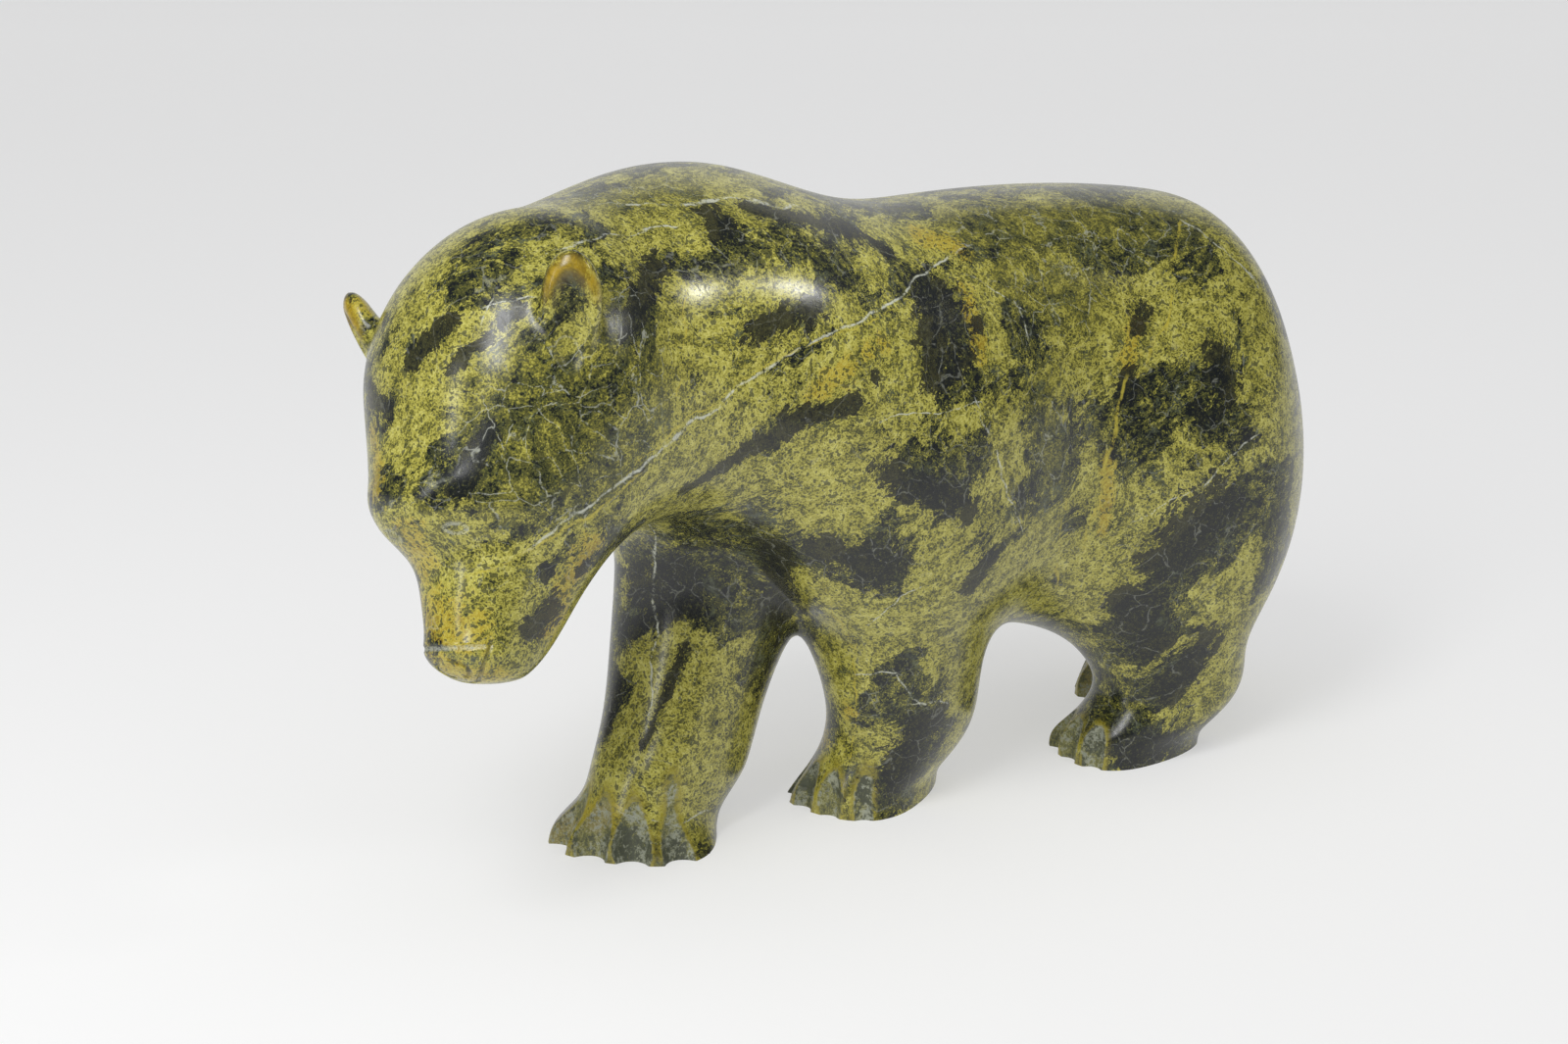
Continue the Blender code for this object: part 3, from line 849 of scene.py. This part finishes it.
def noise(place, size, detail=4.0, roughness=0.55, out=0):
    """Noise whose largest lumps are about this many millimetres across."""
    sockets = {"Vector": place, "Scale": 1 / size, "Detail": detail, "Roughness": roughness}
    return Grain.node("ShaderNodeTexNoise", None, sockets, out)


def blend(factor, first, second):
    """The first colour where factor is 0 and the second where it is 1."""
    sockets = {0: factor, MIX_FIRST: first, MIX_SECOND: second}
    return Grain.node("ShaderNodeMix", {"data_type": "RGBA"}, sockets, MIXED_COLOUR)


def mark(name):
    """One of the marks on the skin."""
    return Grain.node("ShaderNodeAttribute", {"attribute_name": name}, None, MARK_NUMBER)


def swirl(place, size, reach, detail=2.0):
    """Moves places about by up to half of reach, in lumps of this size."""
    away = vector("SUBTRACT", noise(place, size, detail, 0.5, NOISE_COLOUR), (0.5, 0.5, 0.5))
    return vector("ADD", place, vector("SCALE", away, Scale=reach))


# Colours as light is reflected by them, without gloss.
BLUE_BLACK = (0.006, 0.008, 0.009, 1)
DARK_GREEN = (0.024, 0.029, 0.010, 1)
MOSS = (0.088, 0.092, 0.024, 1)
OLIVE = (0.195, 0.180, 0.026, 1)
YELLOW_GREEN = (0.40, 0.37, 0.068, 1)
STRAW = (0.56, 0.53, 0.14, 1)
GREY_GREEN = (0.125, 0.145, 0.085, 1)
OCHRE = (0.40, 0.27, 0.015, 1)
PALE_GOLD = (0.50, 0.42, 0.050, 1)
CHALK = (0.60, 0.62, 0.52, 1)
DUST = (0.34, 0.36, 0.29, 1)
# Painted shade, besides the dull colour of unpolished stone: this darkens the toe scoops.
DULL_SHADED_GREEN = (0.110, 0.120, 0.075, 1)
# Painted glow: this gold stands for light shining through the thin toe ridges and glancing off them.
RIDGE_GLOW = (0.33, 0.28, 0.03, 1)

# The stone's bedding lies in sheets that lean to the left and rise to the rear, and its clouds are drawn out
# in them. Noises are named for what they make in the stone, and their sizes are in millimetres.
BEDDING = [math.radians(turn) for turn in (160, -40, -20)]
BEDDING_STRETCH = (2.2, 1.5, 1)

place = vector("SCALE", Grain.node("ShaderNodeTexCoord", out=OBJECT_PLACE), Scale=MILLIMETRES)
bent = swirl(place, 34, 22)
ragged = swirl(bent, 6, 5, 3.0)
bedded = Grain.node(
    "ShaderNodeMapping", {"vector_type": "TEXTURE"},
    {"Vector": bent, "Rotation": BEDDING, "Scale": BEDDING_STRETCH},
)
torn = swirl(bedded, 4, 2.5, 3.0)
cloud = noise(bedded, 19, 7, 0.66)
streak = noise(torn, 4.2, 4, 0.95)
mottle = noise(ragged, 5.5, 4, 0.9)
clump = noise(ragged, 4.5, 3, 0.8)
grit = noise(place, 1.2, 2, 1.0)

# Dark and light stone meet in torn edges. Inside each, the stone varies from clump to clump and from grain
# to grain, and the mossy clouds lie between the two. As the tone rises, each colour takes over from the one
# before it, between the two tones beside it.
TONES = (
    (DARK_GREEN, -0.95, -0.45),
    (MOSS, -0.60, -0.20),
    (OLIVE, -0.25, 0.12),
    (YELLOW_GREEN, 0.05, 0.48),
    (STRAW, 0.50, 1.20),
)

grain = (clump - 0.5) * 3.4 + (streak - 0.5) * 1.4 + (grit - 0.5) * 4.0
moss = mark("moss").step(0.0, 0.7)
shade = (cloud - 0.5) * 7.5 + (streak - 0.5) * 2.2 - 0.20
shade = shade + mark("dark").step(-0.3, 1.0) * 0.95 - mark("bright").step(-0.3, 1.0) * 0.95
dark_stone = shade.step(-0.07, 0.15)
tone = grain * (1 + dark_stone * 0.15) + 0.44 - dark_stone * 0.86
tone = tone + moss * (-0.36 - 0.35 * grain + 0.60 * dark_stone)
colour = BLUE_BLACK
for tint, low, high in TONES:
    colour = blend(tone.step(low, high), colour, tint)
haze = noise(ragged, 8, 4, 0.8).step(0.54, 0.66) * (1 - tone.step(-0.1, 0.4))
colour = blend(haze * 0.5, colour, GREY_GREEN)
gold = (mark("gold") * 1.1 + (clump - 0.5) * 4.0 + (grit - 0.5) * 1.5).step(0.15, 0.65)
colour = blend(gold * 0.65, colour, blend(grit.step(0.35, 0.65), OCHRE, PALE_GOLD))

# Single black grains lie all through the stone, and the black patches have torn edges.
specks = (noise(place, 1.2, 1, 0.5) - (mottle - 0.5) * 0.35).step(0.57, 0.62)
colour = blend(specks * 0.8, colour, DARK_GREEN)
blackness = mark("black") * 1.1 + (streak - 0.5) * 3.0 + (clump - 0.5) * 3.0 + (cloud - 0.5) * 2.0
black = blackness.step(0.15, 0.30)
colour = blend(black * 0.92, colour, blend(grit.step(0.55, 0.75), BLUE_BLACK, MOSS))

# A net of hair-fine light veins lies over the dark places. Its meshes are about NET_SIZE millimetres across.
NET_SIZE = 8
NET_THREAD = (0.004, 0.028)

net = Grain.node(
    "ShaderNodeTexVoronoi", {"feature": "DISTANCE_TO_EDGE"},
    {"Vector": ragged, "Scale": 1 / NET_SIZE, "Randomness": 1.0},
)
threads = (1 - net.step(*NET_THREAD)) * streak.step(0.44, 0.56)
colour = blend(threads * (0.10 + dark_stone * 0.10 + moss * 0.25), colour, CHALK)

# The veins are flat sheets that run through the block. Each is given where it shows in the picture, as a
# chain of places, with its half width in millimetres and whether it is chalk or gold.
VEINS = (
    (((985, 250), (905, 310), (750, 400), (650, 480), (540, 560)), 0.40, CHALK),
    (((910, 316), (750, 394), (655, 468)), 0.25, PALE_GOLD),
    (((650, 485), (600, 530), (480, 590)), 0.35, PALE_GOLD),
    (((1205, 228), (1190, 330), (1165, 380)), 0.5, PALE_GOLD),
    (((1150, 390), (1130, 470), (1108, 560)), 0.6, PALE_GOLD),
    (((1085, 515), (1075, 600)), 0.4, PALE_GOLD),
    (((1160, 530), (1225, 498), (1280, 450)), 0.25, CHALK),
    (((665, 535), (668, 640), (662, 740)), 0.3, CHALK),
    (((640, 828), (690, 842), (720, 828)), 0.25, CHALK),
    (((845, 600), (852, 630), (874, 660), (874, 710), (866, 770)), 0.3, PALE_GOLD),
    (((878, 688), (912, 690), (935, 717), (965, 720)), 0.3, CHALK),
    (((640, 212), (760, 203), (820, 215)), 0.3, CHALK),
    (((540, 300), (500, 310), (490, 330)), 0.25, CHALK),
    (((560, 262), (590, 245), (690, 225)), 0.25, CHALK),
    (((700, 290), (703, 340), (690, 400)), 0.25, PALE_GOLD),
    (((1040, 540), (1000, 410), (900, 430)), 0.2, CHALK),
    (((1210, 228), (1250, 255), (1290, 300)), 0.25, CHALK),
    (((990, 285), (1040, 320), (1050, 350)), 0.2, CHALK),
    (((940, 600), (880, 640)), 0.2, CHALK),
)
VEIN_FADE = 3.0
VEIN_EDGE = (0.3, 1.2)
VEIN_COVER = 0.8

wander = swirl(swirl(place, 14, 6), 2.4, 1.0)
whole = (noise(place, 5, 4) * 0.6 + grit * 0.4).step(0.42, 0.58)
for chain, half_width, tint in VEINS:
    inner, outer = (half_width * edge for edge in VEIN_EDGE)
    for first, second in zip(chain, chain[1:]):
        start, stop = seen(*first), seen(*second)
        normal = picture_ray(*first).cross(picture_ray(*second)).normalized()
        along = (stop - start).normalized()
        length = (stop - start).length * MILLIMETRES
        across = vector("DOT_PRODUCT", wander, tuple(normal), out=VECTOR_NUMBER)
        across = abs(across - normal.dot(start) * MILLIMETRES)
        reach = vector("DOT_PRODUCT", place, tuple(along), out=VECTOR_NUMBER)
        reach = reach - along.dot(start) * MILLIMETRES
        within = reach.step(-VEIN_FADE, 0) * (1 - reach.step(length, length + VEIN_FADE))
        line = (1 - across.step(inner, outer)) * whole
        colour = blend(line * within * VEIN_COVER, colour, tint)

# What the tools left: golden light through the rims of the ears, chalky burr lines, dust and painted shade in
# the toes.
colour = blend(mark("rim") * (0.55 + mottle.step(0.4, 0.6) * 0.40), colour, OCHRE)
dusty_and_shaded = mark("unpolished").step(0.2, 0.7)
# Painted shade: the scoops are darkened to a dull green, partly their own unpolished colour and partly the
# shade that lies in them.
colour = blend(dusty_and_shaded * 0.55, colour, DULL_SHADED_GREEN)
colour = blend(dusty_and_shaded * (clump * 0.6 + grit * 0.4).step(0.48, 0.60) * 0.8, colour, DUST)
# Painted glow and painted highlight: the polished ridges between the toe scoops turn gold where light shines
# through them and glances off them.
colour = blend(mark("ridge").step(0.1, 0.8) * mottle.step(0.38, 0.55) * 0.75, colour, RIDGE_GLOW)
hollow = mark("hollow").step(0.2, 0.8)
# Painted shade: the mouth and nostril grooves are darkened almost to black, as the shade that lies in them.
colour = blend(mark("groove_shade").step(0.1, 0.7) * mottle.step(0.3, 0.55) * 0.85, colour, BLUE_BLACK)
colour = blend(mark("chalk").step(0.15, 0.65) * grit.step(0.3, 0.6) * 0.5, colour, CHALK)

# The polish is a little duller on the specks, and the scoops, hollows and burr lines were left rough.
POLISH = 0.20
PIT_STRENGTH = 0.25
PIT_DEPTH = 0.0001
SERPENTINE_IOR = 1.56

polish = POLISH + mottle.step(0.35, 0.65) * 0.08 + specks * 0.06
roughness = polish + dusty_and_shaded * 0.36 + hollow * 0.12 + mark("chalk").step(0.1, 0.7) * 0.3
pits = Grain.node(
    "ShaderNodeBump", None,
    {"Strength": PIT_STRENGTH, "Distance": PIT_DEPTH, "Height": grit * (0.3 + dusty_and_shaded * 1.2)},
)
shader = Grain.node(
    "ShaderNodeBsdfPrincipled", None,
    {"Base Color": colour, "Roughness": roughness, "Normal": pits, "IOR": SERPENTINE_IOR},
)
ending = stone.node_tree.nodes.new("ShaderNodeOutputMaterial")
stone.node_tree.links.new(shader.socket, ending.inputs["Surface"])
skin.materials.clear()
skin.materials.append(stone)

# The studio: a pale paper sweep, soft boxes on both sides of the camera, and even light from all round. The
# paper in front of PAPER_FRONT isn't mirrored in the polish, because the real studio was dark there.
PAPER = (0.50, 0.50, 0.50, 1)
PAPER_ROUGHNESS = 0.9
PAPER_SHINE = 0.1
PAPER_GLOW = 0.48
PAPER_WIDTH = 8.0
PAPER_FRONT = -0.24
TABLE_FRONT = -3.0
PAPER_BACK = 2.2
PAPER_BEND = 1.2
BEND_STEPS = 17
PAPER_TOP = 3.0

paper_material = bpy.data.materials.new("pale paper")
paper_material.use_nodes = True
paper_shader = paper_material.node_tree.nodes["Principled BSDF"]
paper_shader.inputs["Base Color"].default_value = PAPER
paper_shader.inputs["Roughness"].default_value = PAPER_ROUGHNESS
paper_shader.inputs["Specular IOR Level"].default_value = PAPER_SHINE
paper_shader.inputs["Emission Color"].default_value = (1, 1, 1, 1)
paper_shader.inputs["Emission Strength"].default_value = PAPER_GLOW

sweep_profile = [(PAPER_FRONT, 0.0), (PAPER_BACK, 0.0)]
for turn in np.linspace(0, math.pi / 2, BEND_STEPS)[1:]:
    sweep_profile.append((PAPER_BACK + PAPER_BEND * math.sin(turn), PAPER_BEND * (1 - math.cos(turn))))
sweep_profile.append((PAPER_BACK + PAPER_BEND, PAPER_TOP))

for name, profile, mirrored in (
    ("paper_sweep", sweep_profile, True),
    ("paper_front", [(TABLE_FRONT, 0.0), (PAPER_FRONT, 0.0)], False),
):
    paper = bmesh.new()
    left = [paper.verts.new((-PAPER_WIDTH / 2, along, up)) for along, up in profile]
    right = [paper.verts.new((PAPER_WIDTH / 2, along, up)) for along, up in profile]
    for i in range(len(profile) - 1):
        paper.faces.new((left[i], right[i], right[i + 1], left[i + 1]))
    paper_mesh = bpy.data.meshes.new(name)
    paper.to_mesh(paper_mesh)
    paper.free()
    paper_mesh.transform(Matrix.Rotation(-CAMERA_TURN, 4, "Z"))
    paper_mesh.shade_smooth()
    paper_mesh.materials.append(paper_material)
    sheet = bpy.data.objects.new(name, paper_mesh)
    bpy.context.scene.collection.objects.link(sheet)
    sheet.visible_glossy = mirrored

# Each soft box: the spot on the bear it is aimed at, its direction from there round from +X and up, in
# degrees, its distance, width and height in metres, watts, and the spread left by its grid, in degrees. The
# sky box stands for the light of the whole room, so it isn't mirrored in the polish.
SOFT_BOXES = {
    "left box": ((-0.136, -0.051, 0.155), -145, 42, 0.9, 0.26, 0.75, 5.4, 180),
    "low box": ((-0.071, -0.005, 0.046), -172, 9, 1.0, 0.10, 0.45, 0.9, 180),
    "right box": ((-0.045, -0.046, 0.154), -44, 33, 0.32, 0.11, 0.04, 0.008, 24),
    "sky box": ((0, 0, 0.085), -120, 66, 3.0, 5.0, 5.0, 57.0, 180),
}
for name, (aim, around, up, distance, width, height, watts, spread) in SOFT_BOXES.items():
    light = bpy.data.lights.new(name, "AREA")
    light.shape = "RECTANGLE"
    light.size = width
    light.size_y = height
    light.energy = watts
    light.spread = math.radians(spread)
    lamp = bpy.data.objects.new(name, light)
    bpy.context.scene.collection.objects.link(lamp)
    around, up = math.radians(around), math.radians(up)
    outward = Vector((math.cos(around) * math.cos(up), math.sin(around) * math.cos(up), math.sin(up)))
    lamp.location = Vector(aim) + outward * distance
    lamp.rotation_euler = outward.to_track_quat("Z", "Y").to_euler()
    lamp.visible_camera = False
    lamp.visible_glossy = name != "sky box"

ROOM_COLOUR = (0.95, 0.97, 1.0, 1)
ROOM_STRENGTH = 0.15

world = bpy.data.worlds.new("even light")
bpy.context.scene.world = world
world.use_nodes = True
world.node_tree.nodes["Background"].inputs["Color"].default_value = ROOM_COLOUR
world.node_tree.nodes["Background"].inputs["Strength"].default_value = ROOM_STRENGTH
bpy.context.scene.view_settings.view_transform = "Standard"
